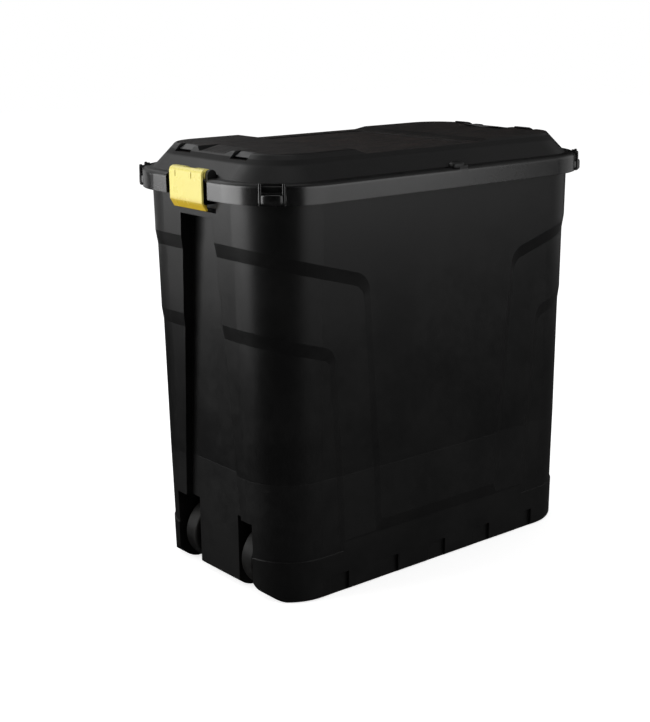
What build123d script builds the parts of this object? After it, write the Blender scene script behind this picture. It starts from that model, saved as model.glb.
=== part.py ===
"""Wheeled deck storage box: moulded tub, lift-off lid, two snap latches, axle and wheels.

X runs along the box with the wheels at -X, Y across it, Z up from the ground.
The origin is the middle of the footprint on the ground. Lengths are millimetres.
"""
import os
from math import atan, cos, degrees, hypot, radians, sin, tan

from build123d import *

# Tub walls
half_length = 342.0        # outside of the end wall at the lid skirt's lower edge
half_width = 190.0         # outside of the long wall at the same height
corner_radius = 98.0       # upright corners at the same height
skirt_z = 629.0            # lower edge of the lid skirt above the ground
band_z = 196.0             # line where the lower walls lean in more
wall_draft = 0.9           # degrees, above the band
lower_draft = 1.3          # degrees, below the band
tub_wall = 3.0
floor_thickness = 4.0
floor_raise = 5.0          # the floor stands this far above the foot ring
foot_ring_width = 60.0
bottom_round = 8.0        # round from the walls to the underside
tilt_round = 46.0          # larger round at the wheel end, so the box tips onto its wheels
tilt_run_out = 0.5         # how far that round passes through the ground and the end wall

# Stepped corner panels
step_1 = 3.0               # first step inwards
step_2 = 2.4               # second step inwards
ramp_height = 21.0         # height of the ramp at the top of each step
ramp_width = 10.0          # width of the ramp beside each step
panel_slope = 0.285        # rise of the ramps towards the corners
panel_1_end_z = 562.0      # first ramp at the end wall
panel_1_foot_gap = 226.0   # from the end wall's top to the first side line's foot
panel_1_lean = 0.079       # how far the side lines lean outwards with height
panel_1_radius = 34.0      # bend of the outer edge of the ramp
panel_1_inner_radius = 26.0
panel_2_end_z = 437.0
panel_2_foot_gap = 154.0
panel_2_lean = 0.085
panel_2_radius = 28.0
panel_2_inner_radius = 14.0

# Plinth around the foot
plinth_top = 105.0
plinth_inset = 3.6
plinth_ramp = 21.0
plinth_low_top = 69.0

# Recessed channel in each end wall
channel_floor_x = 318.0    # the channel floor is upright, so it gets shallower downwards
channel_top_z = 598.0
channel_half_top = 43.0
channel_knee_z = 425.0
channel_half_knee = 54.0
channel_half_foot = 86.0

# Drain notches along the long bottom edges
notch_count = 5
notch_pitch = 105.0
notch_width = 37.0
notch_height = 33.0
notch_depth = 5.0

# Tub rim
rim_thickness = 4.0
rim_lip = 12.0             # depth of the turned-down lip
rim_round = 3.0
rim_gap = 2.0              # gap between the rim and the lid skirt

# Hand hold and catch under the lid at each end
hold_half_width = 54.0
hold_depth = 26.0
hold_bottom_z = 607.0
hold_top_z = 645.0
catch_half_width = 31.0
catch_bottom_z = 617.6
catch_thickness = 5.0
catch_reach = 5.0          # the catch stands out this far from the wall's top

# Lid
lid_wall = 3.0
skirt_height = 31.0
skirt_overhang = 15.5      # skirt outside beyond the tub wall
skirt_round = 7.0
ledge_width = 18.0
dome_rise = 29.5
dome_run = 28.0
dome_round = 7.0
pad_rise = 8.0
rear_pad_rise = 4.0
front_pad_x = -155.0       # inner edge of the pad at the wheel end
front_pad_ramp = 18.0
rear_pad_x = 128.0         # inner edge of the pad at the far end
rear_pad_ramp = 20.0
split_half_width = 46.0    # dip between the pads at each end
split_side = 12.0
split_drop = 6.0
split_length = 46.0
panel_recess = 1.6
panel_margin = 24.0
window_half_centre = 75.0
window_width = 42.0
window_drop = 11.0
window_depth = 10.0

# Lashing lugs on the lid corners and bumps on its long sides
lug_width = 39.0
lug_proud = 2.0
lug_pocket_width = 30.0
lug_pocket_depth = 11.5    # height of the lashing slot, up through the ledge
lug_pocket_reach = 13.0    # how far the slot runs in from the skirt
lug_rib_rise = 0.8
lug_reach = 7.0            # how far the lug runs in from the skirt
lug_round = 1.5
bump_length = 20.0
bump_x = 26.0
bump_rise = 3.0
dimple_length = 18.0
dimple_x = 4.0
dimple_width = 8.0
dimple_depth = 1.8

# Latch and its bay in the lid
latch_half_width = 43.5
latch_thickness = 3.2
latch_proud = 1.5          # latch face beyond the lid skirt
latch_chamfer_z = 622.0
latch_bottom_z = 610.0
hook_reach = 22.0
hook_tip = 4.0
hook_half_width = 24.0
chamfer_run = 7.0
catch_cover = 0.6          # rest clearance between hook and catch
bay_half_width = 55.5
bay_setback = 7.5
bay_drop = 7.0
bay_gap = 1.0              # between the tub's rim and the sides of the bay
pin_inboard = 12.5         # hinge bar inboard of the skirt face
pin_lift = 4.5             # hinge bar above the lid ledge
pin_radius = 3.5
pin_clearance = 0.1
knuckle_radius = 8.0
knuckle_inner = 16.0
knuckle_outer = 45.0
ear_thickness = 6.0
side_gap = 0.6             # between latch and its neighbours along the hinge bar
slit_width = 2.0
slit_height = 9.0
slit_places = (27.0, -16.0)
latch_top_round = 8.0

# Wheels and axle
wheel_radius = 52.0
wheel_width = 30.0
hub_width = 36.0
hub_radius = 13.0
wheel_lift = 1.0           # the wheels clear the ground while the box stands
wheel_setback = 9.0        # wheels behind the foot of the end wall
wheel_half_track = 79.0
wheel_dish = 8.0
wheel_rim = 9.0
spoke_count = 6
spoke_thickness = 3.0
arch_radius = 71.0         # wheel arch, around the axle
arch_width = 50.0
axle_radius = 5.0
axle_fit = 0.05
axle_overlap = 12.0        # axle carried beyond each wheel arch
axle_throat = 9.0          # narrow mouth that the axle snaps through

# Heights and half sizes that follow
ledge_z = skirt_z + skirt_height
rim_z = ledge_z - lid_wall
dome_z = ledge_z + dome_rise
pad_z = dome_z + pad_rise
lean_up = tan(radians(wall_draft))
lean_down = tan(radians(lower_draft))
band_inset = (skirt_z - band_z) * lean_up
foot_inset = band_inset + band_z * lean_down
lid_half_length = half_length + skirt_overhang
lid_half_width = half_width + skirt_overhang
lid_corner = corner_radius + skirt_overhang
pin_x = lid_half_length - pin_inboard
pin_z = ledge_z + pin_lift
latch_face_x = lid_half_length + latch_proud
axle_z = wheel_lift + wheel_radius
axle_x = -(half_length - foot_inset - wheel_setback - wheel_radius)
bay_floor_z = ledge_z - bay_drop
bay_face_x = lid_half_length - bay_setback
bay_clearance = 0.3        # between the tub and the underside of the bays
far = 3 * half_length      # reach of cutting shapes well outside the box


def wall_block(inset, lowest=0.0):
    """Tub walls without steps: a rounded rectangle that leans in towards the ground."""
    length = 2 * (half_length - band_inset - inset)
    width = 2 * (half_width - band_inset - inset)
    radius = corner_radius - band_inset - inset
    with BuildPart() as block:
        with BuildSketch(Plane.XY.offset(band_z)):
            RectangleRounded(length, width, radius)
        extrude(amount=rim_z - band_z, taper=-wall_draft)
        with BuildSketch(Plane.XY.offset(band_z)):
            RectangleRounded(length, width, radius)
        extrude(amount=band_z - lowest, dir=(0, 0, -1), taper=lower_draft)
    return block.part


def half_space(low_z, high_z):
    """A slab that is wider than the box, between two heights."""
    with BuildPart() as slab:
        with BuildSketch(Plane.XY.offset(low_z)):
            Rectangle(2 * far, 2 * far)
        extrude(amount=high_z - low_z)
    return slab.part


def ramp_plane(end_z, drop, side):
    """Slanted plane through a ramp's edge: highest at the end wall of the given side."""
    return Plane(
        origin=(side * half_length, 0, end_z - drop),
        x_dir=(side, 0, panel_slope),
        z_dir=(-side * panel_slope, 0, 1),
    )


def upper_walls(outer, end_z):
    """The part of a wall block above the two slanted ramp edges."""
    middle_z = end_z - panel_slope * half_length
    far_z = end_z + panel_slope * (far - half_length)
    with BuildPart() as roof:
        with BuildSketch(Plane.XZ):
            with BuildLine():
                Polyline((-far, far_z), (0, middle_z), (far, far_z), (far, 2 * far), (-far, 2 * far),
                         close=True)
            make_face()
        extrude(amount=far, both=True)
        add(outer, mode=Mode.INTERSECT)
    return roof.part


def wrap_ramp(outer, inner, end_z, side):
    """Ramp between two wall levels, round the end wall and both corners of one side."""
    top = section(outer, section_by=ramp_plane(end_z, 0, side), mode=Mode.PRIVATE)
    low = section(inner, section_by=ramp_plane(end_z, ramp_height, side), mode=Mode.PRIVATE)
    with BuildPart() as ramp:
        loft(sections=[top.faces()[0], low.faces()[0]], ruled=True)
        with BuildSketch(Plane.XY):
            with Locations((-side * far / 2, 0)):
                Rectangle(far + 80, 2 * far)
        extrude(amount=far, mode=Mode.SUBTRACT)
    return ramp.part


def centre_pad(outer, inset, step, end_z, foot_x, lean, radius, inner_radius, side):
    """Raised middle of a long wall: its edges ramp down to the next level."""
    face = Plane(
        origin=(0, side * (half_width - inset), skirt_z),
        x_dir=(-side, 0, 0),
        z_dir=(0, side * cos(radians(wall_draft)), -sin(radians(wall_draft))),
    )
    with BuildPart() as pad:
        for ramps in (-0.5, 1.5):
            shift = ramps * ramp_width
            flare_x = half_length - corner_radius - 0.2
            flare_z = end_z - panel_slope * (half_length - flare_x) - ramps * ramp_height
            side_x = foot_x + shift
            meet_z = (flare_z - panel_slope * (flare_x - side_x)) / (1 - panel_slope * lean)
            with BuildSketch(face.offset(-ramps * step)):
                with BuildLine():
                    Polyline(
                        (0, -skirt_z - 20),
                        (side_x, -skirt_z - 20),
                        (side_x + lean * meet_z, meet_z - skirt_z),
                        (flare_x, flare_z - skirt_z),
                        (flare_x, ledge_z - skirt_z),
                        (0, ledge_z - skirt_z),
                        close=True,
                    )
                make_face()
                corner = vertices().sort_by_distance((side_x + lean * meet_z, meet_z - skirt_z))[0]
                fillet(corner, radius + ramps * (inner_radius - radius))
                mirror(about=Plane.YZ)
        loft(ruled=True)
        add(outer, mode=Mode.INTERSECT)
    return pad.part


def stepped_walls(inset):
    """Tub walls with both steps at every corner, as a solid."""
    outer = wall_block(inset)
    middle = wall_block(inset + step_1)
    inner = wall_block(inset + step_1 + step_2)
    levels = (
        (outer, middle, inset, step_1, panel_1_end_z, half_length - panel_1_foot_gap, panel_1_lean,
         panel_1_radius, panel_1_inner_radius),
        (middle, inner, inset + step_1, step_2, panel_2_end_z, half_length - panel_2_foot_gap, panel_2_lean,
         panel_2_radius, panel_2_inner_radius),
    )
    with BuildPart() as walls:
        add(inner)
        for high, low, level_inset, step, end_z, *side_line in reversed(levels):
            add(upper_walls(high, end_z))
            for side in (-1, 1):
                add(wrap_ramp(high, low, end_z, side))
                add(centre_pad(high, level_inset, step, end_z, *side_line, side))
    return walls.part


def foot_block(inset, lowest, top, rounding):
    """Plinth walls from the underside up, with a rounded lower edge."""
    with BuildPart() as foot:
        add(wall_block(plinth_inset + inset, lowest))
        add(half_space(lowest, top), mode=Mode.INTERSECT)
        fillet(foot.faces().sort_by(Axis.Z)[0].edges(), rounding)
    return foot.part


def tilt_cutter(inset):
    """What the larger round at the wheel end takes away, across the whole width."""
    centre_x = tilt_round - tilt_run_out - (half_length - foot_inset)
    centre_z = tilt_round - tilt_run_out
    with BuildPart() as cutter:
        with BuildSketch(Plane.XZ):
            with Locations((centre_x - far / 2, centre_z - far / 2)):
                Rectangle(far, far)
            with Locations((centre_x, centre_z)):
                Circle(tilt_round - inset, mode=Mode.SUBTRACT)
        extrude(amount=far, both=True)
    return cutter.part


def end_channel(inset, side):
    """Recess down the middle of an end wall."""
    floor = Plane(
        origin=(side * (channel_floor_x - inset), 0, 0),
        x_dir=(0, 1, 0),
        z_dir=(side, 0, 0),
    )
    with BuildPart() as channel:
        with BuildSketch(floor):
            with BuildLine():
                half = Polyline(
                    (0, side * (channel_top_z + inset)),
                    (channel_half_top + inset, side * (channel_top_z + inset)),
                    (channel_half_knee + inset, side * channel_knee_z),
                    (channel_half_foot + inset, 0),
                    (channel_half_foot + inset, side * -far),
                    (0, side * -far),
                )
                mirror(half, about=Plane.YZ)
            make_face()
        extrude(amount=far)
    return channel.part


def end_box(inner_x, outer_x, half_y, low_z, high_z, side):
    """A block at one end of the box, the same on both sides of the middle."""
    with BuildPart() as block:
        with BuildSketch(Plane.XY.offset(low_z)):
            with Locations((side * (inner_x + outer_x) / 2, 0)):
                Rectangle(outer_x - inner_x, 2 * half_y)
        extrude(amount=high_z - low_z)
    return block.part


def hand_hold(inset, side):
    """Pocket under the rim for the fingers, around the latch's catch."""
    with BuildPart() as hold:
        add(end_box(half_length - hold_depth - inset, far, hold_half_width + inset,
                    hold_bottom_z - inset, hold_top_z + inset, side))
        add(end_box(0, far, catch_half_width - inset, catch_bottom_z + inset, far, side),
            mode=Mode.SUBTRACT)
    return hold.part


def wheel_arch(inset, side):
    """Space for one wheel, open to the end wall and the ground."""
    with BuildPart() as arch:
        with BuildSketch(Plane.XZ.offset(-side * wheel_half_track)):
            with Locations((axle_x, axle_z)):
                Circle(arch_radius + inset)
            with Locations((axle_x - far / 2, axle_z + arch_radius + inset - far / 2)):
                Rectangle(far, far)
            with Locations((axle_x, axle_z - far / 2)):
                Rectangle(2 * (arch_radius + inset), far)
        extrude(amount=arch_width / 2 + inset, both=True)
    return arch.part


def axle_seat(inset):
    """Groove across the underside that the axle snaps into."""
    half_seat = wheel_half_track + arch_width / 2 + axle_overlap
    with BuildPart() as seat:
        with BuildSketch(Plane.XZ):
            with Locations((axle_x, axle_z)):
                Circle(axle_radius + axle_fit + inset)
            with Locations((axle_x, axle_z / 2 - 10)):
                Rectangle(axle_throat + 2 * inset, axle_z + 20)
        extrude(amount=half_seat + inset, both=True)
    return seat.part


def tub_form(inset, lowest, rounding):
    """Solid inside the tub's walls: its outside at no inset, its hollow at one wall thickness."""
    cone_top = section(wall_block(inset), section_by=Plane.XY.offset(plinth_top), mode=Mode.PRIVATE)
    cone_low = section(wall_block(inset + plinth_inset),
                       section_by=Plane.XY.offset(plinth_top - plinth_ramp), mode=Mode.PRIVATE)
    with BuildPart() as limit:
        add(foot_block(inset, lowest, plinth_top - plinth_ramp, rounding))
        loft(sections=[cone_low.faces()[0], cone_top.faces()[0]], ruled=True)
        add(half_space(plinth_top, far))
    with BuildPart() as form:
        add(stepped_walls(inset))
        add(limit.part, mode=Mode.INTERSECT)
        add(foot_block(inset, lowest, plinth_low_top, rounding))
        add(tilt_cutter(inset), mode=Mode.SUBTRACT)
        for side in (-1, 1):
            add(end_channel(inset, side), mode=Mode.SUBTRACT)
            add(hand_hold(inset, side), mode=Mode.SUBTRACT)
            add(wheel_arch(inset, side), mode=Mode.SUBTRACT)
        add(axle_seat(inset), mode=Mode.SUBTRACT)
        add(drain_notches(inset), mode=Mode.SUBTRACT)
    return form.part


def rim_ring():
    """Rolled rim round the top of the tub, hidden under the lid skirt."""
    overhang = skirt_overhang - lid_wall - rim_gap
    with BuildPart() as ring:
        for low_z, inner_overhang in ((rim_z - rim_thickness, -tub_wall), (rim_z - rim_lip,
                                      overhang - lid_wall)):
            with BuildSketch(Plane.XY.offset(low_z)):
                RectangleRounded(2 * (half_length + overhang), 2 * (half_width + overhang),
                                 corner_radius + overhang)
                RectangleRounded(2 * (half_length + inner_overhang), 2 * (half_width + inner_overhang),
                                 corner_radius + inner_overhang, mode=Mode.SUBTRACT)
            extrude(amount=rim_z - low_z)
        fillet(ring.faces().sort_by(Axis.Z)[-1].outer_wire().edges(), rim_round)
        for side in (-1, 1):
            add(end_box(0, far, bay_half_width + lid_wall + bay_gap, 0, far, side),
                mode=Mode.SUBTRACT)
    return ring.part


def drain_notches(inset):
    """Shallow recesses spaced along both long bottom edges."""
    foot_y = half_width - foot_inset - plinth_inset - notch_depth - inset
    with BuildPart() as notches:
        with BuildSketch():
            with GridLocations(notch_pitch, 2 * foot_y + far, notch_count, 2):
                Rectangle(notch_width + 2 * inset, far)
        extrude(amount=notch_height + inset)
    return notches.part


def foot_recess():
    """Raised floor inside the foot ring, behind the wheel arches."""
    rear_x = half_length - foot_inset - plinth_inset - foot_ring_width
    front_x = axle_x + arch_radius + 4 * tub_wall
    with BuildPart() as recess:
        with BuildSketch():
            with Locations(((front_x + rear_x) / 2, 0)):
                RectangleRounded(
                    rear_x - front_x,
                    2 * (half_width - foot_inset - plinth_inset - foot_ring_width),
                    corner_radius - foot_inset - foot_ring_width,
                )
        extrude(amount=floor_raise)
    return recess.part


def make_tub():
    with BuildPart() as tub:
        add(tub_form(0, 0, bottom_round))
        add(rim_ring())
        for side in (-1, 1):
            add(end_box(half_length - tub_wall, half_length + catch_reach, catch_half_width,
                        catch_bottom_z, catch_bottom_z + catch_thickness, side))
        add(tub_form(tub_wall, floor_raise + floor_thickness, bottom_round - tub_wall),
            mode=Mode.SUBTRACT)
        add(foot_recess(), mode=Mode.SUBTRACT)
        for side in (-1, 1):
            add(end_box(half_length / 2, far, bay_half_width + lid_wall + bay_gap,
                        bay_floor_z - lid_wall - bay_clearance, far, side), mode=Mode.SUBTRACT)
    return tub.part


def dome_block(inset):
    """Raised middle of the lid, up to the height of its pads."""
    run = dome_run * (dome_rise + pad_rise) / dome_rise
    rise = dome_rise + pad_rise
    base_inset = ledge_width + inset * (hypot(dome_run, dome_rise) - dome_run) / dome_rise
    with BuildPart() as dome:
        with BuildSketch(Plane.XY.offset(ledge_z - inset)):
            RectangleRounded(2 * (lid_half_length - base_inset), 2 * (lid_half_width - base_inset),
                             lid_corner - base_inset)
        extrude(amount=rise, taper=degrees(atan(run / rise)))
        fillet(dome.faces().sort_by(Axis.Z)[-1].edges(), dome_round)
    return dome.part


def lid_skirt(inset, lowest):
    """Skirt and ledge round the lid."""
    with BuildPart() as skirt:
        with BuildSketch(Plane.XY.offset(lowest)):
            RectangleRounded(2 * (lid_half_length - inset), 2 * (lid_half_width - inset),
                             lid_corner - inset)
        extrude(amount=ledge_z - inset - lowest)
        fillet(skirt.faces().sort_by(Axis.Z)[-1].edges(), skirt_round - inset)
    return skirt.part


def low_top(inset):
    """What is taken off the dome between the front and rear pads."""
    with BuildPart() as cut:
        with BuildSketch(Plane.XZ):
            with BuildLine():
                Polyline(
                    (front_pad_x, pad_z - inset),
                    (front_pad_x + front_pad_ramp, dome_z - inset),
                    (rear_pad_x - rear_pad_ramp, dome_z - inset),
                    (rear_pad_x, dome_z + rear_pad_rise - inset),
                    (far, dome_z + rear_pad_rise - inset),
                    (far, far),
                    (front_pad_x, far),
                    close=True,
                )
            make_face()
        extrude(amount=far, both=True)
    return cut.part


def pad_split(inset, side):
    """Dip between the two pads at one end of the lid."""
    split_x = lid_half_length - ledge_width - dome_run - split_length
    low_z = pad_z - split_drop - inset
    with BuildPart() as split:
        with BuildSketch(Plane(origin=(side * split_x, 0, 0), x_dir=(0, side, 0), z_dir=(side, 0, 0))):
            with BuildLine():
                Polyline(
                    (-split_half_width, pad_z),
                    (split_side - split_half_width, low_z),
                    (split_half_width - split_side, low_z),
                    (split_half_width, pad_z),
                    (split_half_width, far),
                    (-split_half_width, far),
                    close=True,
                )
            make_face()
        extrude(amount=far)
    return split.part


def pad_windows(inset, side):
    """Square notches in the end edge of the pads."""
    run = dome_run * (dome_rise + pad_rise) / dome_rise
    window_x = lid_half_length - ledge_width - run - window_depth
    with BuildPart() as windows:
        with BuildSketch(Plane.XY.offset(pad_z - window_drop - inset)):
            with Locations((side * (window_x - inset + far / 2), window_half_centre),
                           (side * (window_x - inset + far / 2), -window_half_centre)):
                Rectangle(far, window_width + 2 * inset)
        extrude(amount=far)
    return windows.part


def top_panel(inset):
    """Shallow textured panel sunk in the low part of the top."""
    front_x = front_pad_x + front_pad_ramp + panel_margin / 2
    rear_x = rear_pad_x - rear_pad_ramp - panel_margin / 2
    half_y = lid_half_width - ledge_width - dome_run - panel_margin
    with BuildPart() as panel:
        with BuildSketch(Plane.XY.offset(dome_z - panel_recess - inset)):
            with Locations(((front_x + rear_x) / 2, 0)):
                RectangleRounded(rear_x - front_x, 2 * half_y, panel_margin / 2)
        extrude(amount=panel_recess + 1)
    return panel.part


def latch_bay(inset, side):
    """Set-back bay in the lid for one latch and its hinge."""
    with BuildPart() as bay:
        add(end_box(lid_half_length - bay_setback - inset, far, bay_half_width + inset,
                    0, far, side))
        add(end_box(pin_x - knuckle_radius - 1.5 - inset, far, bay_half_width + inset,
                    bay_floor_z - inset, far, side))
    return bay.part


def lid_form(inset, lowest):
    """Solid inside the lid's skin: its outside at no inset, its hollow at one wall thickness."""
    with BuildPart() as form:
        add(dome_block(inset))
        add(low_top(inset), mode=Mode.SUBTRACT)
        add(top_panel(inset), mode=Mode.SUBTRACT)
        for side in (-1, 1):
            add(pad_split(inset, side), mode=Mode.SUBTRACT)
            add(pad_windows(inset, side), mode=Mode.SUBTRACT)
        add(lid_skirt(inset, lowest))
        for side in (-1, 1):
            add(latch_bay(inset, side), mode=Mode.SUBTRACT)
    return form.part


def lug_plane(side_x, side_y):
    """Plane at a corner's centre whose X axis points out through the corner."""
    return Plane(
        origin=(side_x * (lid_half_length - lid_corner), side_y * (lid_half_width - lid_corner), skirt_z),
        x_dir=(side_x, side_y, 0),
        z_dir=(0, 0, 1),
    )


def lashing_lug(side_x, side_y):
    """Lug across one corner of the skirt, up to just above the ledge."""
    with BuildPart() as lug:
        with BuildSketch(lug_plane(side_x, side_y)):
            with Locations((lid_corner + lug_proud - lug_reach / 2, 0)):
                Rectangle(lug_reach, lug_width)
            front = vertices().sort_by_distance((far, 0))[:2]
            fillet(front, lug_round)
        extrude(amount=skirt_height + lug_rib_rise)
    return lug.part


def lashing_slot(side_x, side_y):
    """Slot between the lug's two ribs, open upwards through the ledge."""
    with BuildPart() as slot:
        with BuildSketch(lug_plane(side_x, side_y).offset(skirt_height - lug_pocket_depth)):
            with Locations((lid_corner - lug_pocket_reach + far / 2, 0)):
                Rectangle(far, lug_pocket_width)
        extrude(amount=far)
    return slot.part


def hinge_bar(side):
    """Bar that a latch snaps on, with ears at its ends and a support in the middle."""
    ear_inner = knuckle_outer + side_gap
    ear_outer = ear_inner + ear_thickness
    with BuildPart() as bar:
        with BuildSketch(Plane.XZ):
            with Locations((side * pin_x, pin_z)):
                Circle(pin_radius)
        extrude(amount=ear_outer, both=True)
        for low_y, high_y, radius in (
            (ear_inner, ear_outer, knuckle_radius),
            (-ear_outer, -ear_inner, knuckle_radius),
            (side_gap - knuckle_inner, knuckle_inner - side_gap, knuckle_radius - 2),
        ):
            with BuildSketch(Plane.XZ.offset(-high_y)):
                with Locations((side * pin_x, pin_z)):
                    Circle(radius)
                with Locations((side * pin_x, (pin_z + bay_floor_z - 1) / 2)):
                    Rectangle(2 * radius, pin_z - bay_floor_z + 1)
            extrude(amount=high_y - low_y)
    return bar.part


def side_bump(side):
    """Small lug and dimple halfway along the ledge of one long side."""
    with BuildPart() as bump:
        with BuildSketch(Plane.XY.offset(ledge_z - skirt_round)):
            with Locations((bump_x, side * (lid_half_width - skirt_round))):
                RectangleRounded(bump_length, 2 * skirt_round, 3)
        extrude(amount=skirt_round + bump_rise)
        fillet(bump.faces().sort_by(Axis.Z)[-1].edges(), 2)
    return bump.part


def side_dimple(side):
    """The dimple beside that lug."""
    with BuildPart() as dimple:
        with BuildSketch(Plane.XY.offset(ledge_z - dimple_depth)):
            with Locations((dimple_x, side * (lid_half_width - ledge_width + dimple_width / 2 + 1))):
                RectangleRounded(dimple_length, dimple_width, 2)
        extrude(amount=dimple_depth + 1)
    return dimple.part


def make_lid():
    with BuildPart() as lid:
        add(lid_form(0, skirt_z))
        for side in (-1, 1):
            add(side_bump(side))
            add(side_dimple(side), mode=Mode.SUBTRACT)
            for side_x in (-1, 1):
                add(lashing_lug(side_x, side))
        add(lid_form(lid_wall, skirt_z - 1), mode=Mode.SUBTRACT)
        for side in (-1, 1):
            for side_x in (-1, 1):
                add(lashing_slot(side_x, side), mode=Mode.SUBTRACT)
            add(hinge_bar(side))
    return lid.part


def make_latch(side):
    """Latch: a face plate that turns on the lid's hinge bar and hooks under the catch."""
    inner_x = latch_face_x - latch_thickness
    tip_x = latch_face_x - hook_reach
    tip_z = catch_bottom_z - catch_cover
    top_z = pin_z + knuckle_radius
    bend = latch_top_round
    with BuildPart() as latch:
        with BuildSketch(Plane.XZ):
            with BuildLine():
                Polyline(
                    (latch_face_x, top_z - bend),
                    (latch_face_x, latch_chamfer_z),
                    (latch_face_x - chamfer_run, latch_bottom_z),
                    (tip_x, latch_bottom_z),
                    (tip_x, tip_z),
                    (tip_x + hook_tip, tip_z),
                    (tip_x + hook_tip, latch_bottom_z + latch_thickness),
                    (inner_x - chamfer_run, latch_bottom_z + latch_thickness),
                    (inner_x, latch_chamfer_z),
                    (inner_x, top_z - bend),
                )
                RadiusArc((inner_x, top_z - bend), (latch_face_x - bend, top_z - latch_thickness),
                          -(bend - latch_thickness))
                Line((latch_face_x - bend, top_z - latch_thickness), (latch_face_x - bend, top_z))
                RadiusArc((latch_face_x - bend, top_z), (latch_face_x, top_z - bend), bend)
            make_face()
        extrude(amount=latch_half_width, both=True)
        with BuildSketch(Plane.XY.offset(latch_bottom_z)):
            with Locations((latch_face_x - latch_thickness - chamfer_run - far / 2, 0)):
                Rectangle(far, far)
                Rectangle(far, 2 * hook_half_width, mode=Mode.SUBTRACT)
        extrude(amount=tip_z - latch_bottom_z, mode=Mode.SUBTRACT)
        for low_y in (-knuckle_outer, knuckle_inner):
            with BuildSketch(Plane.XZ.offset(-low_y - knuckle_outer + knuckle_inner)):
                with Locations((pin_x, pin_z)):
                    Circle(knuckle_radius)
                with Locations(((pin_x + latch_face_x - bend) / 2, top_z - latch_thickness / 2)):
                    Rectangle(latch_face_x - bend - pin_x, latch_thickness)
            extrude(amount=knuckle_outer - knuckle_inner)
        with BuildSketch(Plane.XZ):
            with Locations((pin_x, pin_z)):
                Circle(pin_radius + pin_clearance)
        extrude(amount=knuckle_outer + 1, both=True, mode=Mode.SUBTRACT)
        with BuildSketch(Plane.YZ.offset(inner_x - 1)):
            with Locations(*((y, top_z - bend - slit_height / 2 + 2) for y in slit_places)):
                Rectangle(slit_width, slit_height)
        extrude(amount=far, mode=Mode.SUBTRACT)
    if side < 0:
        return mirror(latch.part, about=Plane.YZ)
    return latch.part


def make_wheel(side):
    """Moulded wheel: tread, web with spokes on both faces, and a hub that runs on the axle."""
    middle = Plane(origin=(axle_x, side * wheel_half_track, axle_z), x_dir=(1, 0, 0), z_dir=(0, -1, 0))
    tread_inner = wheel_radius - wheel_rim
    with BuildPart() as wheel:
        with BuildSketch(middle):
            Circle(wheel_radius)
        extrude(amount=wheel_width / 2, both=True)
        fillet(wheel.edges().filter_by(GeomType.CIRCLE), 4)
        for face in (-1, 1):
            with BuildSketch(middle.offset(face * (wheel_width / 2 - wheel_dish))):
                Circle(tread_inner)
            extrude(amount=face * far, mode=Mode.SUBTRACT)
            with BuildSketch(middle):
                with PolarLocations((tread_inner + hub_radius) / 2, spoke_count):
                    Rectangle(tread_inner - hub_radius + 4, spoke_thickness)
            extrude(amount=face * (wheel_width / 2 - 3))
        with BuildSketch(middle):
            Circle(hub_radius)
        extrude(amount=hub_width / 2, both=True)
        with BuildSketch(middle):
            Circle(axle_radius + pin_clearance)
        extrude(amount=hub_width, both=True, mode=Mode.SUBTRACT)
    return wheel.part


def make_axle():
    """Steel rod with chamfered ends, held in the tub's groove."""
    half_axle = wheel_half_track + arch_width / 2 + axle_overlap - 1
    with BuildPart() as axle:
        with BuildSketch(Plane.XZ):
            with Locations((axle_x, axle_z)):
                Circle(axle_radius)
        extrude(amount=half_axle, both=True)
        chamfer(axle.edges().filter_by(GeomType.CIRCLE), 1)
    return axle.part


pieces = {
    "tub": make_tub(),
    "lid": make_lid(),
    "front_latch": make_latch(-1),
    "rear_latch": make_latch(1),
    "axle": make_axle(),
    "wheel_left": make_wheel(1),
    "wheel_right": make_wheel(-1),
}
os.makedirs("parts", exist_ok=True)
for name, piece in pieces.items():
    piece.label = name
    export_step(piece, f"parts/{name}.step")
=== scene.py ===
import math
import bpy
import numpy as np
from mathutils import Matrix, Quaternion, Vector


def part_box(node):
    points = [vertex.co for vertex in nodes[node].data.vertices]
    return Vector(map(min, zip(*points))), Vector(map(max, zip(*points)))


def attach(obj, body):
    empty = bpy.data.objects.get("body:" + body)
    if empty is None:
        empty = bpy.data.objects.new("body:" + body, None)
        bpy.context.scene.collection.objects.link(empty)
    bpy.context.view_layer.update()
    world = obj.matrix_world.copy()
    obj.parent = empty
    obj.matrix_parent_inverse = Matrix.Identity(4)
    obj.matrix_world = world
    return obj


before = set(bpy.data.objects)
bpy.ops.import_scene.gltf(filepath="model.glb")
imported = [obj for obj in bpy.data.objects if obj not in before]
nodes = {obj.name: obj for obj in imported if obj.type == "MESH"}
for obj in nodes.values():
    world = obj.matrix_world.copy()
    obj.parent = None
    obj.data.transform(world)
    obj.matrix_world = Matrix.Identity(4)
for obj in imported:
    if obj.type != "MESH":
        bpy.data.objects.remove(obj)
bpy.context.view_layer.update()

print("frame loaded:", len(nodes), "nodes")


lidLow, lidHigh = (Vector(corner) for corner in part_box("lid"))
latchLow = Vector(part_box("front_latch")[0])

# heights that the finishes change at, in metres above the ground
levels = {
    "band": 0.196,  # line round the tub where the lower walls lean in more
    "ledge": lidLow.z + 0.031,  # flat ledge of the lid above its skirt
    "dome": lidLow.z + 0.051,  # above this the lid's top face starts
    "panel": lidHigh.z - 0.0082,  # everything on top below this is the sunk panel
    "latchTurn": latchLow.z + 0.013,  # where the latch's face turns into its chamfered foot
}


# ready-made node chains

def mathNode(tree, operation, first, second=None, third=None):
    made = tree.nodes.new("ShaderNodeMath")
    made.operation = operation
    for place, value in enumerate((first, second, third)):
        if value is None:
            continue
        if isinstance(value, (int, float)):
            made.inputs[place].default_value = value
        else:
            tree.links.new(value, made.inputs[place])
    return made.outputs[0]


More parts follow.
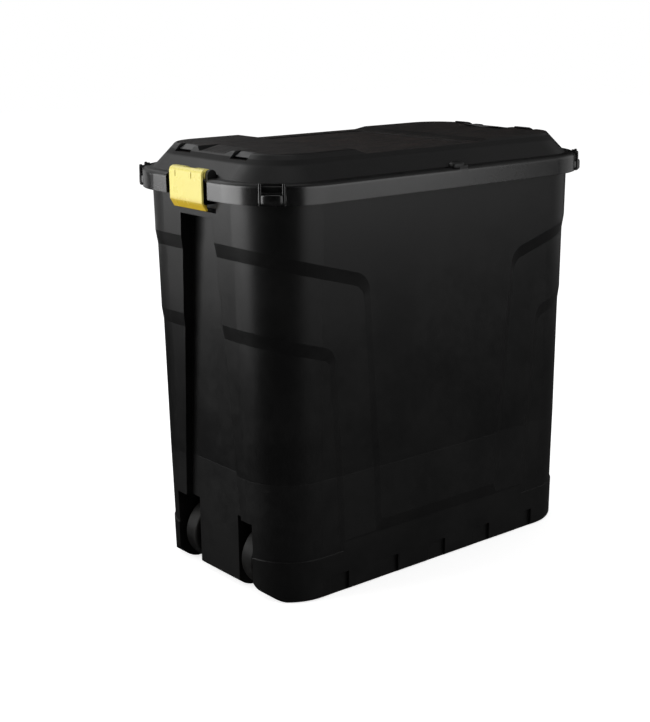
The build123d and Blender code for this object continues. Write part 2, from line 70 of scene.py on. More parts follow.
def timesNode(tree, first, second):
    return mathNode(tree, "MULTIPLY", first, second)


def noiseNode(tree, vector, scale, detail=3.0, roughness=0.55):
    made = tree.nodes.new("ShaderNodeTexNoise")
    made.inputs["Scale"].default_value = scale
    made.inputs["Detail"].default_value = detail
    made.inputs["Roughness"].default_value = roughness
    tree.links.new(vector, made.inputs["Vector"])
    return made.outputs["Fac"]


def stretchNode(tree, vector, scale, turn=(0.0, 0.0, 0.0)):
    made = tree.nodes.new("ShaderNodeMapping")
    made.inputs["Scale"].default_value = scale
    made.inputs["Rotation"].default_value = turn
    tree.links.new(vector, made.inputs["Vector"])
    return made.outputs[0]


def rampNode(tree, value, low, high, start=0.0, end=1.0):
    made = tree.nodes.new("ShaderNodeMapRange")
    made.interpolation_type = "SMOOTHSTEP"
    made.inputs["From Min"].default_value = low
    made.inputs["From Max"].default_value = high
    made.inputs["To Min"].default_value = start
    made.inputs["To Max"].default_value = end
    tree.links.new(value, made.inputs["Value"])
    return made.outputs["Result"]


def levelNode(tree, height, level, soft, start=0.0, end=1.0):
    # changes between two heights that soft gives relative to the level
    return rampNode(tree, height, level + soft[0], level + soft[1], start, end)


def mixColour(tree, mask, first, second):
    # first where the mask is 0 and second where it is 1, as in the two mixes below
    made = tree.nodes.new("ShaderNodeMix")
    made.data_type = "RGBA"
    tree.links.new(mask, made.inputs["Factor"])
    for name, value in (("A", first), ("B", second)):
        socket = [s for s in made.inputs if s.name == name and s.type == "RGBA"][0]
        if isinstance(value, tuple):
            socket.default_value = (*value, 1.0)
        else:
            tree.links.new(value, socket)
    return [s for s in made.outputs if s.type == "RGBA"][0]


def mixValue(tree, mask, first, second):
    made = tree.nodes.new("ShaderNodeMix")
    tree.links.new(mask, made.inputs["Factor"])
    for place, value in ((2, first), (3, second)):
        if isinstance(value, (int, float)):
            made.inputs[place].default_value = value
        else:
            tree.links.new(value, made.inputs[place])
    return made.outputs[0]


def mixNormal(tree, mask, first, second):
    made = tree.nodes.new("ShaderNodeMix")
    made.data_type = "VECTOR"
    tree.links.new(mask, made.inputs["Factor"])
    tree.links.new(first, made.inputs[4])
    tree.links.new(second, made.inputs[5])
    return made.outputs[1]


def splitNode(tree, vector):
    made = tree.nodes.new("ShaderNodeSeparateXYZ")
    tree.links.new(vector, made.inputs[0])
    return made.outputs


def newGroup(name, inputs, outputs):
    tree = bpy.data.node_groups.new(name, "ShaderNodeTree")
    for label, kind, value in inputs:
        made = tree.interface.new_socket(name=label, in_out="INPUT", socket_type=kind)
        if value is not None:
            made.default_value = value
    for label, kind in outputs:
        tree.interface.new_socket(name=label, in_out="OUTPUT", socket_type=kind)
    start = tree.nodes.new("NodeGroupInput")
    end = tree.nodes.new("NodeGroupOutput")
    return tree, start.outputs, end.inputs


def makeMouldedGrain():
    # spark-eroded grain of a moulded plastic, slow mottling from the melt's flow, and fine scuffs
    # each noise is its scale, detail and roughness, and each pair the values that a mask runs between
    look = {"grainDetail": 2.0, "slowNoise": (8.0, 4.0), "slowShare": 0.7, "fineNoise": (60.0, 3.0),
            "fineShare": 0.3, "mottle": (0.36, 0.66), "scratchSize": (18.0, 18.0, 190.0),
            "scratchTurn": (0.35, 0.2, 0.6), "scratchNoise": (1.0, 5.0, 0.7), "scratch": (0.62, 0.72),
            "patchNoise": (5.0, 3.0), "patch": (0.52, 0.66)}
    tree, given, result = newGroup(
        "mouldedGrain",
        [("Vector", "NodeSocketVector", None), ("Grain size", "NodeSocketFloat", 1200.0)],
        [("Height", "NodeSocketFloat"), ("Mottle", "NodeSocketFloat"), ("Scuff", "NodeSocketFloat")])
    vector = given["Vector"]
    grain = tree.nodes.new("ShaderNodeTexNoise")
    grain.inputs["Detail"].default_value = look["grainDetail"]
    tree.links.new(vector, grain.inputs["Vector"])
    tree.links.new(given["Grain size"], grain.inputs["Scale"])
    tree.links.new(grain.outputs["Fac"], result["Height"])
    slow = timesNode(tree, noiseNode(tree, vector, *look["slowNoise"]), look["slowShare"])
    fine = timesNode(tree, noiseNode(tree, vector, *look["fineNoise"]), look["fineShare"])
    tree.links.new(rampNode(tree, mathNode(tree, "ADD", slow, fine), *look["mottle"]), result["Mottle"])
    stretched = stretchNode(tree, vector, look["scratchSize"], look["scratchTurn"])
    scratches = rampNode(tree, noiseNode(tree, stretched, *look["scratchNoise"]), *look["scratch"])
    patches = rampNode(tree, noiseNode(tree, vector, *look["patchNoise"]), *look["patch"])
    tree.links.new(timesNode(tree, scratches, patches), result["Scuff"])
    return tree


def makeEdgeWearAndGlint():
    # how far a rounded normal leaves the face's own: 0 on flats, 1 on sharp edges, broken up by noise. The
    # lighter colour this mask mixes in is partly real edge wear and partly painted glint on the edges
    look = {"samples": 4, "sharp": (0.80, 0.985), "breakNoise": (90.0, 4.0), "broken": (0.38, 0.62)}
    tree, given, result = newGroup(
        "edgeWearAndGlint",
        [("Vector", "NodeSocketVector", None), ("Width", "NodeSocketFloat", 0.0015)],
        [("Wear", "NodeSocketFloat"), ("Normal", "NodeSocketVector")])
    bevel = tree.nodes.new("ShaderNodeBevel")
    bevel.samples = look["samples"]
    tree.links.new(given["Width"], bevel.inputs["Radius"])
    flat = tree.nodes.new("ShaderNodeNewGeometry")
    turn = tree.nodes.new("ShaderNodeVectorMath")
    turn.operation = "DOT_PRODUCT"
    tree.links.new(bevel.outputs[0], turn.inputs[0])
    tree.links.new(flat.outputs["Normal"], turn.inputs[1])
    sharp = rampNode(tree, turn.outputs["Value"], *look["sharp"], 1.0, 0.0)
    broken = rampNode(tree, noiseNode(tree, given["Vector"], *look["breakNoise"]), *look["broken"])
    tree.links.new(timesNode(tree, sharp, broken), result["Wear"])
    tree.links.new(bevel.outputs[0], result["Normal"])
    return tree


def makeUpwardDust():
    # fine dust that settles on faces turned up, thicker in patches
    look = {"up": (0.7, 0.99), "patchNoise": (14.0, 5.0, 0.65), "patch": (0.4, 0.75), "patchShare": 0.6,
            "speckNoise": (700.0, 1.0), "speck": (0.66, 0.74), "speckShare": 0.4}
    tree, given, result = newGroup(
        "upwardDust", [("Vector", "NodeSocketVector", None)], [("Dust", "NodeSocketFloat")])
    facing = tree.nodes.new("ShaderNodeNewGeometry")
    up = rampNode(tree, splitNode(tree, facing.outputs["Normal"])["Z"], *look["up"])
    patches = rampNode(tree, noiseNode(tree, given["Vector"], *look["patchNoise"]), *look["patch"])
    specks = rampNode(tree, noiseNode(tree, given["Vector"], *look["speckNoise"]), *look["speck"])
    settled = mathNode(tree, "ADD", timesNode(tree, patches, look["patchShare"]),
                       timesNode(tree, specks, look["speckShare"]))
    tree.links.new(timesNode(tree, up, settled), result["Dust"])
    return tree


def useGroup(tree, group, **values):
    made = tree.nodes.new("ShaderNodeGroup")
    made.node_tree = group
    for label, value in values.items():
        socket = made.inputs[label.replace("_", " ")]
        if isinstance(value, (int, float)):
            socket.default_value = value
        else:
            tree.links.new(value, socket)
    return made.outputs


def bumpNode(tree, height, strength, distance, normal):
    made = tree.nodes.new("ShaderNodeBump")
    made.inputs["Strength"].default_value = strength
    made.inputs["Distance"].default_value = distance
    tree.links.new(height, made.inputs["Height"])
    tree.links.new(normal, made.inputs["Normal"])
    return made.outputs[0]


def linkRoughness(tree, shader, grain, look):
    rough = rampNode(tree, grain["Mottle"], 0.0, 1.0, look["roughLow"], look["roughHigh"])
    tree.links.new(rough, shader.inputs["Roughness"])


def linkGrain(tree, shader, height, look, normal):
    grained = bumpNode(tree, height, look["grainStrength"], look["grainDepth"], normal)
    tree.links.new(grained, shader.inputs["Normal"])


def newMaterial(name):
    made = bpy.data.materials.new(name)
    made.use_nodes = True
    tree = made.node_tree
    shader = [n for n in tree.nodes if n.type == "BSDF_PRINCIPLED"][0]
    where = tree.nodes.new("ShaderNodeTexCoord").outputs["Object"]
    return made, tree, shader, where


mouldedGrain = makeMouldedGrain()
edgeWearAndGlint = makeEdgeWearAndGlint()
upwardDust = makeUpwardDust()
print("shader groups made")


# finishes

tubLook = {
    "deep": (0.0020, 0.0020, 0.0021), "pale": (0.0042, 0.0041, 0.0040), "worn": (0.050, 0.049, 0.047),
    "dust": (0.045, 0.043, 0.040), "roughUpper": 0.33, "roughLower": 0.40, "roughChange": 0.06,
    "grain": 1100.0, "grainDepth": 0.00012, "grainStrength": 0.30, "lineHalf": 0.0009, "lineDepth": 0.00008,
    "bandSoft": (-0.001, 0.001), "edge": 0.0010, "dustShare": 0.5, "scuffShare": 0.18, "wearAndGlintShare": 0.15,
}


def makeTubPlastic(look=tubLook):
    made, tree, shader, where = newMaterial("blackTubPlastic")
    grain = useGroup(tree, mouldedGrain, Vector=where, Grain_size=look["grain"])
    edge = useGroup(tree, edgeWearAndGlint, Vector=where, Width=look["edge"])
    dust = useGroup(tree, upwardDust, Vector=where)
    height = splitNode(tree, where)["Z"]
    lower = levelNode(tree, height, levels["band"], look["bandSoft"], 1.0, 0.0)
    body = mixColour(tree, grain["Mottle"], look["deep"], look["pale"])
    dusty = mixColour(tree, timesNode(tree, dust["Dust"], look["dustShare"]), body, look["dust"])
    scuffed = mixColour(tree, timesNode(tree, grain["Scuff"], look["scuffShare"]), dusty, look["worn"])
    # edge wear and painted glint: sharp edges of the tub are mixed towards a lighter grey
    worn = mixColour(tree, timesNode(tree, edge["Wear"], look["wearAndGlintShare"]), scuffed, look["worn"])
    tree.links.new(worn, shader.inputs["Base Color"])
    rough = mixValue(tree, lower, look["roughUpper"], look["roughLower"])
    change = mathNode(tree, "MULTIPLY_ADD", grain["Mottle"], look["roughChange"], rough)
    tree.links.new(change, shader.inputs["Roughness"])
    # scored line all round at the band
    away = mathNode(tree, "ABSOLUTE", mathNode(tree, "SUBTRACT", height, levels["band"]))
    line = rampNode(tree, away, 0.0, look["lineHalf"])
    scored = bumpNode(tree, line, 1.0, look["lineDepth"], edge["Normal"])
    linkGrain(tree, shader, grain["Height"], look, scored)
    return made


lidLook = {
    "deep": (0.0022, 0.0022, 0.0023), "pale": (0.0044, 0.0043, 0.0042), "panel": (0.0030, 0.0021, 0.0018),
    "panelPale": (0.0250, 0.0140, 0.0105), "worn": (0.055, 0.054, 0.052), "dust": (0.050, 0.048, 0.045),
    "roughSkirt": 0.22, "roughDome": 0.40, "roughPanel": 0.52, "roughWall": 0.75, "roughChange": 0.06,
    "polish": 0.75, "polishRough": 0.20, "grain": 1300.0, "grainDepth": 0.00010, "grainStrength": 0.22,
    "skirtGrain": 0.15, "streakSize": (16.0, 82.0, 16.0), "streakTurn": (0.0, 0.0, 0.06),
    "streakNoise": (1.0, 5.0, 0.68), "streak": (0.40, 0.60), "streakDepth": 0.0016, "padShare": 0.60,
    "edge": 0.0018, "dustShare": 0.20, "wearAndGlintShare": 0.25,
    "ledgeSoft": (-0.006, -0.001), "domeSoft": (0.0, 0.004), "panelSoft": (-0.0004, 0.0012),
    "up": (0.97, 0.999),  # of a face's normal along Z, for the flat top
}


def makeLidPlastic(look=lidLook):
    made, tree, shader, where = newMaterial("blackLidPlastic")
    grain = useGroup(tree, mouldedGrain, Vector=where, Grain_size=look["grain"])
    edge = useGroup(tree, edgeWearAndGlint, Vector=where, Width=look["edge"])
    dust = useGroup(tree, upwardDust, Vector=where)
    height = splitNode(tree, where)["Z"]
    facing = tree.nodes.new("ShaderNodeNewGeometry").outputs["Normal"]
    # masks: over the skirt, over the dome's sides, the flat top, no higher than the sunk panel, and the
    # panel's upright edges
    above = levelNode(tree, height, levels["ledge"], look["ledgeSoft"])
    onTop = levelNode(tree, height, levels["dome"], look["domeSoft"])
    up = rampNode(tree, splitNode(tree, facing)["Z"], *look["up"])
    flatTop = timesNode(tree, up, onTop)
    low = levelNode(tree, height, levels["panel"], look["panelSoft"], 1.0, 0.0)
    panelWall = timesNode(tree, mathNode(tree, "SUBTRACT", onTop, flatTop), low)
    # wavy streaks along the top, fainter on the pads
    textured = timesNode(tree, flatTop, mixValue(tree, low, look["padShare"], 1.0))
    wander = stretchNode(tree, where, look["streakSize"], look["streakTurn"])
    streaks = rampNode(tree, noiseNode(tree, wander, *look["streakNoise"]), *look["streak"])
    body = mixColour(tree, grain["Mottle"], look["deep"], look["pale"])
    topColour = mixColour(tree, streaks, look["panel"], look["panelPale"])
    zoned = mixColour(tree, textured, body, topColour)
    dusty = mixColour(tree, timesNode(tree, dust["Dust"], look["dustShare"]), zoned, look["dust"])
    # edge wear and painted glint: sharp edges of the lid are mixed towards a lighter grey
    worn = mixColour(tree, timesNode(tree, edge["Wear"], look["wearAndGlintShare"]), dusty, look["worn"])
    tree.links.new(worn, shader.inputs["Base Color"])
    rough = mixValue(tree, above, look["roughSkirt"], look["roughDome"])
    rough = mixValue(tree, flatTop, rough, look["roughPanel"])
    rough = mixValue(tree, panelWall, rough, look["roughWall"])
    change = mathNode(tree, "MULTIPLY_ADD", grain["Mottle"], look["roughChange"], rough)
    tree.links.new(change, shader.inputs["Roughness"])
    # the mould is polished for the skirt, so it shines and its grain is fainter there
    tree.links.new(rampNode(tree, above, 0.0, 1.0, look["polish"], 0.0), shader.inputs["Coat Weight"])
    shader.inputs["Coat Roughness"].default_value = look["polishRough"]
    streaked = bumpNode(tree, timesNode(tree, streaks, textured), 1.0, look["streakDepth"],
                        mixNormal(tree, onTop, edge["Normal"], facing))
    grained = timesNode(tree, grain["Height"], mixValue(tree, above, look["skirtGrain"], 1.0))
    linkGrain(tree, shader, grained, look, streaked)
    return made


# deep is painted shade: it darkens the latch's chamfered foot below latchTurn, which faces away from the
# light
latchLook = {
    "bright": (0.90, 0.79, 0.21), "deep": (0.62, 0.40, 0.010), "rubbedAndGlint": (0.90, 0.80, 0.25),
    "roughLow": 0.24, "roughHigh": 0.34, "grain": 1500.0, "grainDepth": 0.00006, "grainStrength": 0.15,
    "turnSoft": (-0.006, 0.006), "paintedShadeShare": 0.9, "edge": 0.0012, "wearAndGlintShare": 0.5,
}


def makeLatchPlastic(look=latchLook):
    made, tree, shader, where = newMaterial("yellowLatchPlastic")
    grain = useGroup(tree, mouldedGrain, Vector=where, Grain_size=look["grain"])
    edge = useGroup(tree, edgeWearAndGlint, Vector=where, Width=look["edge"])
    height = splitNode(tree, where)["Z"]
    # painted shade: below latchTurn the chamfered foot is mixed towards the darker deep colour
    lower = levelNode(tree, height, levels["latchTurn"], look["turnSoft"], 1.0, 0.0)
    body = mixColour(tree, timesNode(tree, lower, look["paintedShadeShare"]), look["bright"], look["deep"])
    # edge wear and painted glint: the latch's sharp edges are mixed towards a lighter yellow
    worn = mixColour(tree, timesNode(tree, edge["Wear"], look["wearAndGlintShare"]), body, look["rubbedAndGlint"])
    tree.links.new(worn, shader.inputs["Base Color"])
    linkRoughness(tree, shader, grain, look)
    linkGrain(tree, shader, grain["Height"], look, edge["Normal"])
    return made


wheelLook = {
    "deep": (0.003, 0.003, 0.003), "pale": (0.0100, 0.0096, 0.0088), "worn": (0.080, 0.076, 0.066),
    "roughLow": 0.50, "roughHigh": 0.66, "shine": 0.25, "grain": 700.0, "grainDepth": 0.0003,
    "grainStrength": 0.4, "edge": 0.0020, "scuffShare": 0.5, "wearAndGlintShare": 0.5,
}


def makeWheelPlastic(look=wheelLook):
    made, tree, shader, where = newMaterial("blackWheelPlastic")
    shader.inputs["Specular IOR Level"].default_value = look["shine"]
    grain = useGroup(tree, mouldedGrain, Vector=where, Grain_size=look["grain"])
    edge = useGroup(tree, edgeWearAndGlint, Vector=where, Width=look["edge"])
    body = mixColour(tree, grain["Mottle"], look["deep"], look["pale"])
    scuffed = mixColour(tree, timesNode(tree, grain["Scuff"], look["scuffShare"]), body, look["worn"])
    # edge wear and painted glint: sharp edges of the wheels are mixed towards a lighter grey
    worn = mixColour(tree, timesNode(tree, edge["Wear"], look["wearAndGlintShare"]), scuffed, look["worn"])
    tree.links.new(worn, shader.inputs["Base Color"])
    linkRoughness(tree, shader, grain, look)
    linkGrain(tree, shader, grain["Height"], look, edge["Normal"])
    return made


axleLook = {
    "light": (0.62, 0.62, 0.64), "dull": (0.42, 0.41, 0.40), "roughLow": 0.22, "roughHigh": 0.40,
    "lineSize": (400.0, 12.0, 400.0), "line": (0.3, 0.7),  # drawing lines run along the rod
}


def makeAxleSteel(look=axleLook):
    made, tree, shader, where = newMaterial("platedAxleSteel")
    shader.inputs["Metallic"].default_value = 1.0
    lines = noiseNode(tree, stretchNode(tree, where, look["lineSize"]), 1.0)
    tree.links.new(mixColour(tree, lines, look["dull"], look["light"]), shader.inputs["Base Color"])
    tree.links.new(rampNode(tree, lines, *look["line"], look["roughLow"], look["roughHigh"]),
                   shader.inputs["Roughness"])
    return made


polishedLook = {
    "deep": (0.0022, 0.0022, 0.0023), "pale": (0.0044, 0.0043, 0.0042), "grain": 1500.0,
    "roughLow": 0.18, "roughHigh": 0.26, "polish": 0.6, "polishRough": 0.14,
}
# painted light: the notch floors are coloured a paler grey than the lid's black, standing in for the light
# that falls on them
windowPaintedLightLook = {
    "deep": (0.0060, 0.0060, 0.0075), "pale": (0.0110, 0.0110, 0.0135), "grain": 1500.0,
    "roughLow": 0.36, "roughHigh": 0.46, "polish": 0.0, "polishRough": 0.03,
}


def makeSmoothPlastic(name, look):
    # for the small forms on the lid, whose mould has no grain
    made, tree, shader, where = newMaterial(name)
    grain = useGroup(tree, mouldedGrain, Vector=where, Grain_size=look["grain"])
    body = mixColour(tree, grain["Mottle"], look["deep"], look["pale"])
    tree.links.new(body, shader.inputs["Base Color"])
    linkRoughness(tree, shader, grain, look)
    shader.inputs["Coat Weight"].default_value = look["polish"]
    shader.inputs["Coat Roughness"].default_value = look["polishRough"]
    return made


latchPlastic = makeLatchPlastic()
wheelPlastic = makeWheelPlastic()
finishes = {
    "tub": makeTubPlastic(),
    "lid": makeLidPlastic(),
    "front_latch": latchPlastic,
    "rear_latch": latchPlastic,
    "axle": makeAxleSteel(),
    "wheel_left": wheelPlastic,
    "wheel_right": wheelPlastic,
}
for name, finish in finishes.items():
    nodes[name].data.materials.clear()
    nodes[name].data.materials.append(finish)
polishedPlastic = makeSmoothPlastic("polishedLidPlastic", polishedLook)
windowPaintedLightPlastic = makeSmoothPlastic("windowFloorPaintedLight", windowPaintedLightLook)
print("finishes set on", len(finishes), "nodes")


# surfaces from grids of points

def roundGrid(rows, columns, start=0.0):
    # steps from start to 1 down the rows, and turns of a full circle along each row
    return np.meshgrid(np.linspace(start, 1, rows), np.linspace(0, 2 * np.pi, columns, endpoint=False),
                       indexing="ij")


def gridQuads(rows, columns, joined):
    # joined closes each row into a ring
    i, j = np.meshgrid(np.arange(rows - 1), np.arange(columns if joined else columns - 1), indexing="ij")
    here, beside = i * columns + j, i * columns + (j + 1) % columns
    return np.stack([here, beside, beside + columns, here + columns], axis=-1).reshape(-1, 4).tolist()


def addMesh(name, points, faces, finish):
    mesh = bpy.data.meshes.new(name)
    mesh.from_pydata(points.tolist(), [], faces)
    mesh.materials.append(finish)
    made = bpy.data.objects.new(name, mesh)
    bpy.context.scene.collection.objects.link(made)
    return made


def addSurface(name, points, joined, finish):
    # points[i, j] is the surface at grid place i, j
    return addMesh(name, points.reshape(-1, 3), gridQuads(*points.shape[:2], joined), finish)


# small moulded forms on the lid

def addLidPiece(name, rings, poles, finish):
    # rings[i, j] is the surface at row i, place j round it; the two poles close the first and last ring
    rows, columns = rings.shape[:2]
    around = np.arange(columns)
    onward = (around + 1) % columns
    last = (rows - 1) * columns
    bottom = np.stack([onward, around, np.full(columns, rows * columns)], axis=-1)
    top = np.stack([last + around, last + onward, np.full(columns, rows * columns + 1)], axis=-1)
    made = addMesh(name, np.vstack([rings.reshape(-1, 3), poles]),
                   gridQuads(rows, columns, True) + bottom.tolist() + top.tolist(), finish)
    made.data.shade_smooth()
    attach(made, "lid")


def bent(wave, power):
    # a wave's size raised to a power, its sign kept
    return np.sign(wave) * np.abs(wave) ** power


def roundedBlock(name, centre, half, axes, powers, finish, rows=21, columns=40):
    # superellipsoid: at height angle a and turn b its point is
    # centre + half[0] cos(a)^p cos(b)^q axis0 + half[1] cos(a)^p sin(b)^q axis1 + half[2] sin(a)^p axis2
    tall, flat = powers
    a = np.linspace(-np.pi / 2, np.pi / 2, rows + 2)[1:-1, None]
    b = np.linspace(0, 2 * np.pi, columns, endpoint=False)[None, :]
    local = np.stack([bent(np.cos(a), tall) * bent(np.cos(b), flat) * half[0],
                      bent(np.cos(a), tall) * bent(np.sin(b), flat) * half[1],
                      bent(np.sin(a), tall) * half[2] * np.ones_like(b)], axis=-1)
    frameAxes = np.array(axes, dtype=float)
    poles = np.array(centre) + np.array([[-half[2]], [half[2]]]) * frameAxes[2]
    addLidPiece(name, local @ frameAxes + np.array(centre), poles, finish)


def signedName(start, *signs):
    # p1 for the plus side of an axis, m1 for the minus side
    return start + "".join("_p1" if sign > 0 else "_m1" for sign in signs)


def addLugs(finish):
    # two upright rounded bars on the front of each corner lug, and a rounded cap over its lower part
    upright = Vector((0, 0, 1))
    look = {"cornerRadius": 0.1135, "front": 0.1150, "apart": 0.0172, "half": (0.0028, 0.0024),
            "low": 0.0004, "above": 0.0022, "powers": (0.35, 0.8),
            "capShare": 0.52, "capFront": 0.1085, "capHalf": (0.0130, 0.0215), "capPowers": (0.30, 1.0)}
    low, high = lidLow.z + look["low"], levels["ledge"] + look["above"]
    for endSign in (-1, 1):
        for sideSign in (-1, 1):
            out = Vector((endSign, sideSign, 0)).normalized()
            across = Vector((-out.y, out.x, 0))
            corner = Vector((endSign * (lidHigh.x - look["cornerRadius"]),
                             sideSign * (lidHigh.y - look["cornerRadius"]), (low + high) / 2))
            for place in (-1, 1):
                centre = corner + out * look["front"] + across * place * look["apart"]
                roundedBlock(signedName("lugRib", endSign, sideSign, place), centre,
                             (*look["half"], (high - low) / 2), (out, across, upright), look["powers"],
                             finish)
            capHigh = low + (high - low) * look["capShare"]
            centre = corner + out * look["capFront"]
            centre.z = (low + capHigh) / 2
            roundedBlock(signedName("lugCap", endSign, sideSign), centre,
                         (*look["capHalf"], (capHigh - low) / 2), (out, across, upright),
                         look["capPowers"], finish)


def addRimBumps(finish):
    # rounded bump near the middle of the rim on each long side
    look = {"place": 0.017, "half": (0.0135, 0.0084, 0.0076), "inset": 0.0086, "lift": 0.0018,
            "powers": (0.8, 0.6)}
    for sideSign in (-1, 1):
        centre = (look["place"], sideSign * (lidHigh.y - look["inset"]), levels["ledge"] + look["lift"])
        roundedBlock("rimBump_left" if sideSign > 0 else "rimBump_right", centre, look["half"],
                     ((1, 0, 0), (0, 1, 0), (0, 0, 1)), look["powers"], finish)


def addEndRamps(finish):
    # fills the inner end of the dip between the pads: along X the height climbs evenly from the dip's
    # floor to the pads; across it, y and z follow a squared-off ellipse whose half width grows by
    # "flare" for each unit of height, like the dip's own sides
    look = {"outer": 0.3060, "inner": 0.2662, "floor": 0.0060, "climb": 0.0059, "bury": 0.0005,
            "halfWidth": 0.0342, "flare": 2.0, "power": 0.12, "rows": 25, "columns": 48}
    along, turn = roundGrid(look["rows"], look["columns"])
    half = (look["climb"] * along + look["bury"]) / 2
    rise = half + half * bent(np.sin(turn), look["power"])
    width = look["halfWidth"] + look["flare"] * (rise - look["bury"])
    for endSign in (-1, 1):
        x = endSign * (look["outer"] + (look["inner"] - look["outer"]) * along)
        y = -endSign * width * bent(np.cos(turn), look["power"])
        rings = np.stack([x, y, lidHigh.z - look["floor"] - look["bury"] + rise], axis=-1)
        poles = rings[[0, -1]].mean(axis=1)
        addLidPiece("endRamp_rear" if endSign > 0 else "endRamp_front", rings, poles, finish)


def addWindowFloors(finish):
    # sloping smooth floor in each of the four notches at the ends of the pads
    look = {"fromEnd": 0.0580, "belowTop": 0.0042, "half": (0.0078, 0.0196, 0.0011), "slope": 26.0,
            "centre": 0.075, "powers": (0.4, 0.25)}
    slope = math.radians(look["slope"])
    for endSign in (-1, 1):
        down = Vector((endSign * math.cos(slope), 0, -math.sin(slope)))
        for place in (-1, 1):
            centre = (endSign * (lidHigh.x - look["fromEnd"]), place * look["centre"],
                      lidHigh.z - look["belowTop"])
            across = Vector((0, endSign, 0))
            label = f"windowFloor_{'rear' if endSign > 0 else 'front'}_{'left' if place > 0 else 'right'}"
            roundedBlock(label, centre, look["half"], (down, across, down.cross(across)),
                         look["powers"], finish)


addLugs(polishedPlastic)
addRimBumps(finishes["lid"])
# the window floors carry painted light: a paler grey than the lid around them
addWindowFloors(windowPaintedLightPlastic)
addEndRamps(finishes["lid"])
print("lid forms made")


# studio

def backgroundRays(tree):
    # 1 for the rays that show the background: seen straight, mirrored or through something clear
    rays = tree.nodes.new("ShaderNodeLightPath")
    seen = mathNode(tree, "MAXIMUM", rays.outputs["Is Camera Ray"], rays.outputs["Is Glossy Ray"])
    return mathNode(tree, "MAXIMUM", seen, rays.outputs["Is Transmission Ray"])


def addFloor():
    # flat square: x and y run from -reach to reach, z stays 0
    look = {"reach": 9.0, "colour": (0.80, 0.80, 0.80), "roughness": 0.9, "glow": 0.70}
    x, y = np.meshgrid(np.linspace(-1, 1, 2), np.linspace(-1, 1, 2), indexing="ij")
    points = np.stack([x * look["reach"], y * look["reach"], 0 * x], axis=-1)
    made, tree, shader, where = newMaterial("paleFloor")
    shader.inputs["Base Color"].default_value = (*look["colour"], 1.0)
    shader.inputs["Roughness"].default_value = look["roughness"]
    shader.inputs["Specular IOR Level"].default_value = 0.0
    shader.inputs["Emission Color"].default_value = (1.0, 1.0, 1.0, 1.0)
    glow = timesNode(tree, backgroundRays(tree), look["glow"])
    tree.links.new(glow, shader.inputs["Emission Strength"])
    floor = addSurface("floor", points, False, made)


def addWorld():
    # white behind the box, dimmer as the light that fills its shadows
    look = {"background": 1.0, "fill": 0.45, "tint": (1.0, 1.0, 1.0)}
    world = bpy.data.worlds.new("studio")
    bpy.context.scene.world = world
    world.use_nodes = True
    tree = world.node_tree
    tree.nodes.clear()
    sky = tree.nodes.new("ShaderNodeBackground")
    sky.inputs["Color"].default_value = (*look["tint"], 1.0)
    tree.links.new(rampNode(tree, backgroundRays(tree), 0.0, 1.0, look["fill"], look["background"]),
                   sky.inputs["Strength"])
    out = tree.nodes.new("ShaderNodeOutputWorld")
    tree.links.new(sky.outputs[0], out.inputs["Surface"])


def makeCardCloth(name, look):
    # grey studio cloth that darkens towards one side, and also towards its opposite when asked, so a
    # rounded corner between them shows a dark stripe; it fades near the ground too
    fade = {"heights": (-0.5, 1.6), "shares": (0.1, 1.0)}
    made = bpy.data.materials.new(name)
    made.use_nodes = True
    tree = made.node_tree
    tree.nodes.clear()
    where = splitNode(tree, tree.nodes.new("ShaderNodeTexCoord").outputs["Object"])
    azimuth = math.radians(look["darkAzimuth"])
    along = mathNode(tree, "ADD", timesNode(tree, where["X"], math.cos(azimuth)),
                     timesNode(tree, where["Y"], math.sin(azimuth)))
    square = mathNode(tree, "ADD", timesNode(tree, where["X"], where["X"]),
                      timesNode(tree, where["Y"], where["Y"]))
    cosine = mathNode(tree, "DIVIDE", along, mathNode(tree, "SQRT", square))
    if look["opposite"]:
        cosine = mathNode(tree, "ABSOLUTE", cosine)
    edge = math.cos(math.radians(look["darkWidth"]))
    level = rampNode(tree, cosine, edge, 1.0, look["grey"], look["dark"])
    faded = timesNode(tree, level, rampNode(tree, where["Z"], *fade["heights"], *fade["shares"]))
    light = tree.nodes.new("ShaderNodeEmission")
    tree.links.new(faded, light.inputs["Strength"])
    out = tree.nodes.new("ShaderNodeOutputMaterial")
    tree.links.new(light.outputs[0], out.inputs["Surface"])
    return made


def mirrorOnly(card):
    # cards shape the reflections alone: they cast no light or shadow and stay out of the picture
    card.visible_camera = False
    card.visible_diffuse = False
    card.visible_shadow = False
    card.visible_transmission = False


def addTentCard():
    # a quarter ellipse from the ground up and in, turned about Z, open at the top
    look = {"radius": 3.4, "opening": 1.0, "height": 4.2, "rows": 17, "columns": 48, "grey": 0.20,
            "dark": 0.012, "darkAzimuth": -130.0, "darkWidth": 62.0, "opposite": True}
    rise, turn = roundGrid(look["rows"], look["columns"])
    radius = look["opening"] + (look["radius"] - look["opening"]) * np.cos(rise * np.pi / 2)
    height = look["height"] * np.sin(rise * np.pi / 2)
    points = np.stack([radius * np.cos(turn), radius * np.sin(turn), height], axis=-1)
    mirrorOnly(addSurface("tentCard", points, True, makeCardCloth("tentCloth", look)))


def addGroundCard():
    # a disc just above the floor, its radius from almost 0 to its reach
    look = {"reach": 3.3, "start": 0.001, "lift": 0.0006, "rows": 5, "columns": 48, "grey": 0.22,
            "dark": 0.02, "darkAzimuth": 125.0, "darkWidth": 110.0, "opposite": False}
    out, turn = roundGrid(look["rows"], look["columns"], look["start"])
    radius = look["reach"] * out
    points = np.stack([radius * np.cos(turn), radius * np.sin(turn), 0 * out + look["lift"]], axis=-1)
    mirrorOnly(addSurface("groundCard", points, True, makeCardCloth("groundCloth", look)))


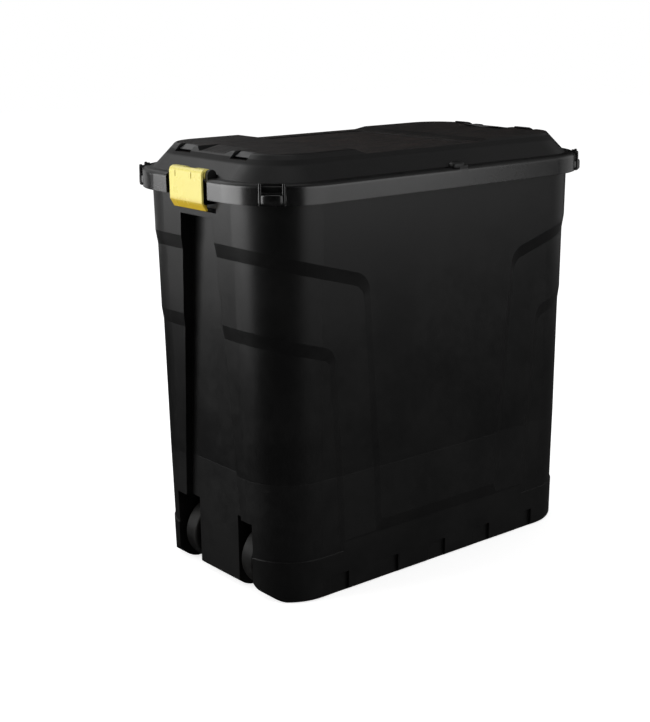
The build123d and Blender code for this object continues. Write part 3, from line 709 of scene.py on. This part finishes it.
def addLamp(name, look):
    data = bpy.data.lights.new(name, "AREA")
    data.shape = "RECTANGLE"
    data.size = look["wide"]
    data.size_y = look["tall"]
    data.energy = look["brightness"] * look["wide"] * look["tall"] * math.pi
    lamp = bpy.data.objects.new(name, data)
    bpy.context.scene.collection.objects.link(lamp)
    lamp.location = look["place"]
    lamp.rotation_mode = "QUATERNION"
    lamp.rotation_quaternion = (Vector(look["aim"]) - lamp.location).to_track_quat("-Z", "Y")
    lamp.visible_camera = False


# brightness is the radiance of the box's face
lamps = {
    "endSoftbox": {"place": (-2.0, 1.6, 1.04), "aim": (0.0, 1.6, 1.04), "wide": 2.7, "tall": 1.8,
                   "brightness": 3.1},
    "sideSoftbox": {"place": (0.9, -2.3, 1.10), "aim": (0.9, 0.0, 1.10), "wide": 2.7, "tall": 1.9,
                    "brightness": 1.05},
    "overheadSoftbox": {"place": (-0.30, 1.90, 2.2), "aim": (0.0, 0.0, 0.6), "wide": 1.9, "tall": 1.0,
                        "brightness": 1.3},
    "farEndSoftbox": {"place": (2.4, -0.7, 1.0), "aim": (0.0, -0.7, 0.9), "wide": 2.0, "tall": 1.8,
                      "brightness": 0.25},
    "farSideSoftbox": {"place": (0.3, 2.6, 1.0), "aim": (0.3, 0.0, 0.9), "wide": 2.2, "tall": 1.8,
                       "brightness": 0.30},
}


def addCamera():
    look = {"place": (-1.507, -1.777, 0.9212), "aim": (0.0, 0.0, 0.365), "lens": 69.67,
            "shiftX": -0.0594, "shiftY": -0.0434, "roll": -0.36, "sensor": 36.0, "clip": (0.05, 50.0)}
    data = bpy.data.cameras.new("camera")
    data.lens = look["lens"]
    data.sensor_width = look["sensor"]
    data.sensor_fit = "AUTO"
    data.shift_x = look["shiftX"]
    data.shift_y = look["shiftY"]
    data.clip_start, data.clip_end = look["clip"]
    camera = bpy.data.objects.new("camera", data)
    bpy.context.scene.collection.objects.link(camera)
    camera.location = look["place"]
    camera.rotation_mode = "QUATERNION"
    aim = (Vector(look["aim"]) - Vector(look["place"])).to_track_quat("-Z", "Y")
    camera.rotation_quaternion = aim @ Quaternion((0, 0, 1), math.radians(look["roll"]))
    bpy.context.scene.camera = camera


addFloor()
addWorld()
addTentCard()
addGroundCard()
for name, look in lamps.items():
    addLamp(name, look)
addCamera()
bpy.context.scene.view_settings.view_transform = "Standard"
print("floor, cards, lamps and camera set")
